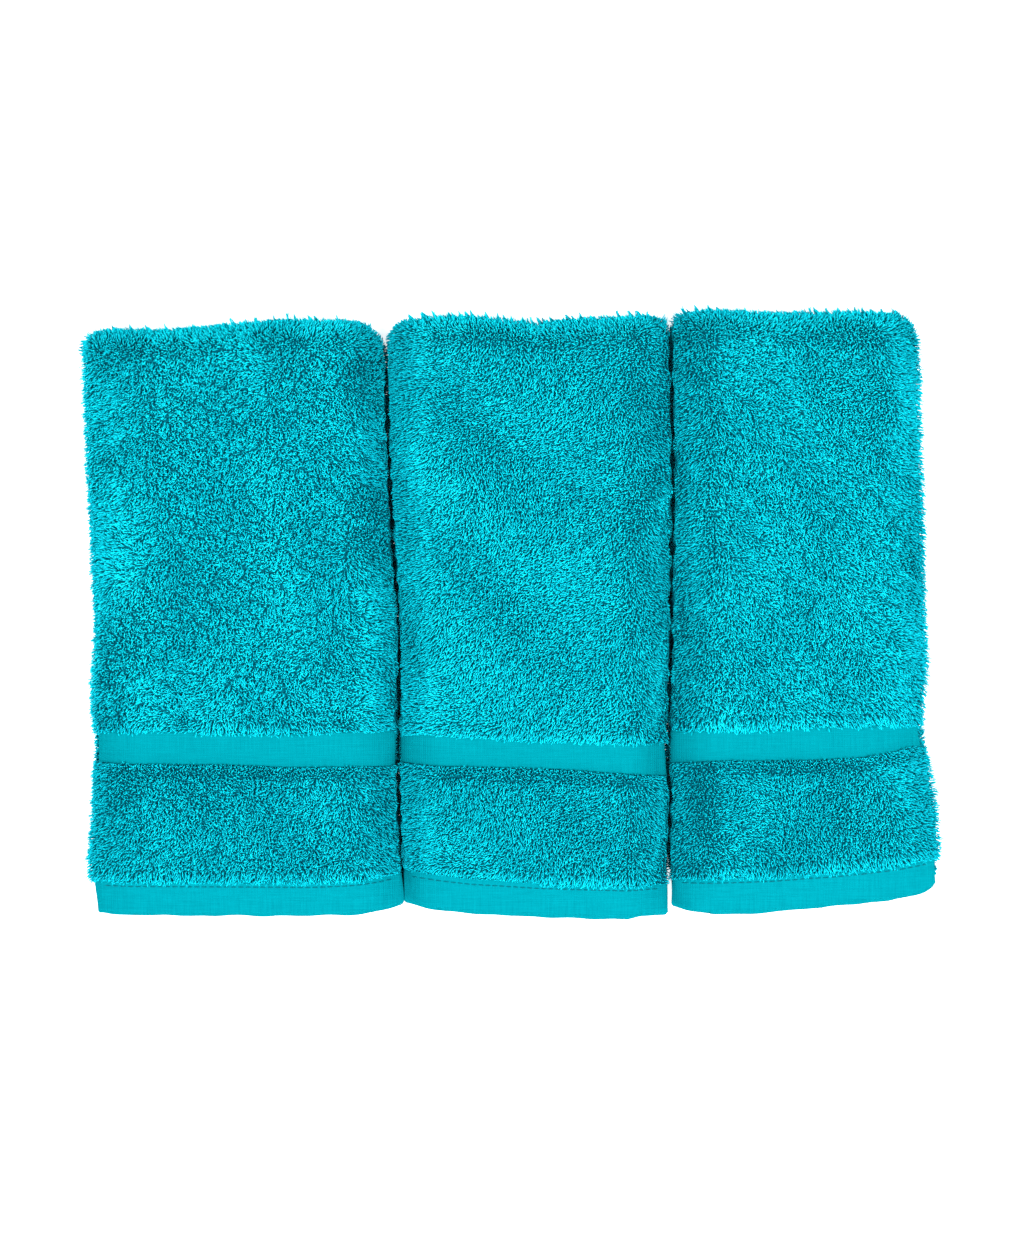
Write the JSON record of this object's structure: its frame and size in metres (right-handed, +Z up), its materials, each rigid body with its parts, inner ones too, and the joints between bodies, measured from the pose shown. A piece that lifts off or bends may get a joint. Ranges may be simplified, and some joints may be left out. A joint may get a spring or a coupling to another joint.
{
  "type": "folded towel set",
  "caption": "Matching terry hand towels, each folded in three both ways with a flat woven border and hem on the opening top flap.",
  "frame": {"origin": "Centre of the set's bounding box in plan, on the surface that the towels lie on.", "axes": "+X runs along the row of towels from left to right, +Y from the hems at the near edge to the far folds, +Z up."},
  "size_m": [0.5043, 0.357, 0.0378],
  "materials": {
    "terry": "turquoise cotton terry with long twisted loops",
    "flat_weave": "smooth turquoise cotton plain weave, slightly satiny",
    "thread": "turquoise sewing thread in a lockstitch"
  },
  "bodies": {
    "left_towel": {"left_base_panel": "terry", "left_base_side_hem": "flat_weave", "left_near_fold": "terry", "left_inner_field": "terry", "left_inner_border": "flat_weave", "left_inner_band": "terry", "left_inner_hem": "flat_weave", "left_inner_hem_stitching": "thread", "left_inner_side_hem": "flat_weave"},
    "left_fold": {"left_far_fold": "terry"},
    "left_flap": {"left_flap_field": "terry", "left_flap_border": "flat_weave", "left_flap_band": "terry", "left_flap_hem": "flat_weave", "left_flap_hem_stitching": "thread", "left_flap_side_hem": "flat_weave"},
    "middle_towel": {"middle_base_panel": "terry", "middle_base_side_hem": "flat_weave", "middle_near_fold": "terry", "middle_inner_field": "terry", "middle_inner_border": "flat_weave", "middle_inner_band": "terry", "middle_inner_hem": "flat_weave", "middle_inner_hem_stitching": "thread", "middle_inner_side_hem": "flat_weave"},
    "middle_fold": {"middle_far_fold": "terry"},
    "middle_flap": {"middle_flap_field": "terry", "middle_flap_border": "flat_weave", "middle_flap_band": "terry", "middle_flap_hem": "flat_weave", "middle_flap_hem_stitching": "thread", "middle_flap_side_hem": "flat_weave"},
    "right_towel": {"right_base_panel": "terry", "right_base_side_hem": "flat_weave", "right_near_fold": "terry", "right_inner_field": "terry", "right_inner_border": "flat_weave", "right_inner_band": "terry", "right_inner_hem": "flat_weave", "right_inner_hem_stitching": "thread", "right_inner_side_hem": "flat_weave"},
    "right_fold": {"right_far_fold": "terry"},
    "right_flap": {"right_flap_field": "terry", "right_flap_border": "flat_weave", "right_flap_band": "terry", "right_flap_hem": "flat_weave", "right_flap_hem_stitching": "thread", "right_flap_side_hem": "flat_weave"}
  },
  "joints": [
    {"name": "middle_lift", "type": "slide", "parent": "left_towel", "child": "middle_towel", "axis": [0, 0, 1], "range_m": [0, 0.15]},
    {"name": "right_lift", "type": "slide", "parent": "left_towel", "child": "right_towel", "axis": [0, 0, 1], "range_m": [0, 0.15]},
    {"name": "left_fold_turn", "type": "hinge", "parent": "left_towel", "child": "left_fold", "pos_m": [-0.16, 0.1634, 0.009], "axis": [-1, 0, 0], "range_deg": [0, 90]},
    {"name": "left_flap_open", "type": "hinge", "parent": "left_fold", "child": "left_flap", "pos_m": [-0.16, 0.1634, 0.0288], "axis": [-1, 0, 0], "range_deg": [0, 90]},
    {"name": "middle_fold_turn", "type": "hinge", "parent": "middle_towel", "child": "middle_fold", "pos_m": [0.0123, 0.1658, 0.009], "axis": [-1, 0, 0], "range_deg": [0, 90]},
    {"name": "middle_flap_open", "type": "hinge", "parent": "middle_fold", "child": "middle_flap", "pos_m": [0.0123, 0.1658, 0.0288], "axis": [-1, 0, 0], "range_deg": [0, 90]},
    {"name": "right_fold_turn", "type": "hinge", "parent": "right_towel", "child": "right_fold", "pos_m": [0.171, 0.1695, 0.009], "axis": [-1, 0, 0], "range_deg": [0, 90]},
    {"name": "right_flap_open", "type": "hinge", "parent": "right_fold", "child": "right_flap", "pos_m": [0.171, 0.1695, 0.0288], "axis": [-1, 0, 0], "range_deg": [0, 90]}
  ],
  "couplings": [
    {"joint": "left_flap_open", "follows": "left_fold_turn", "ratio": 1},
    {"joint": "middle_flap_open", "follows": "middle_fold_turn", "ratio": 1},
    {"joint": "right_flap_open", "follows": "right_fold_turn", "ratio": 1}
  ]
}
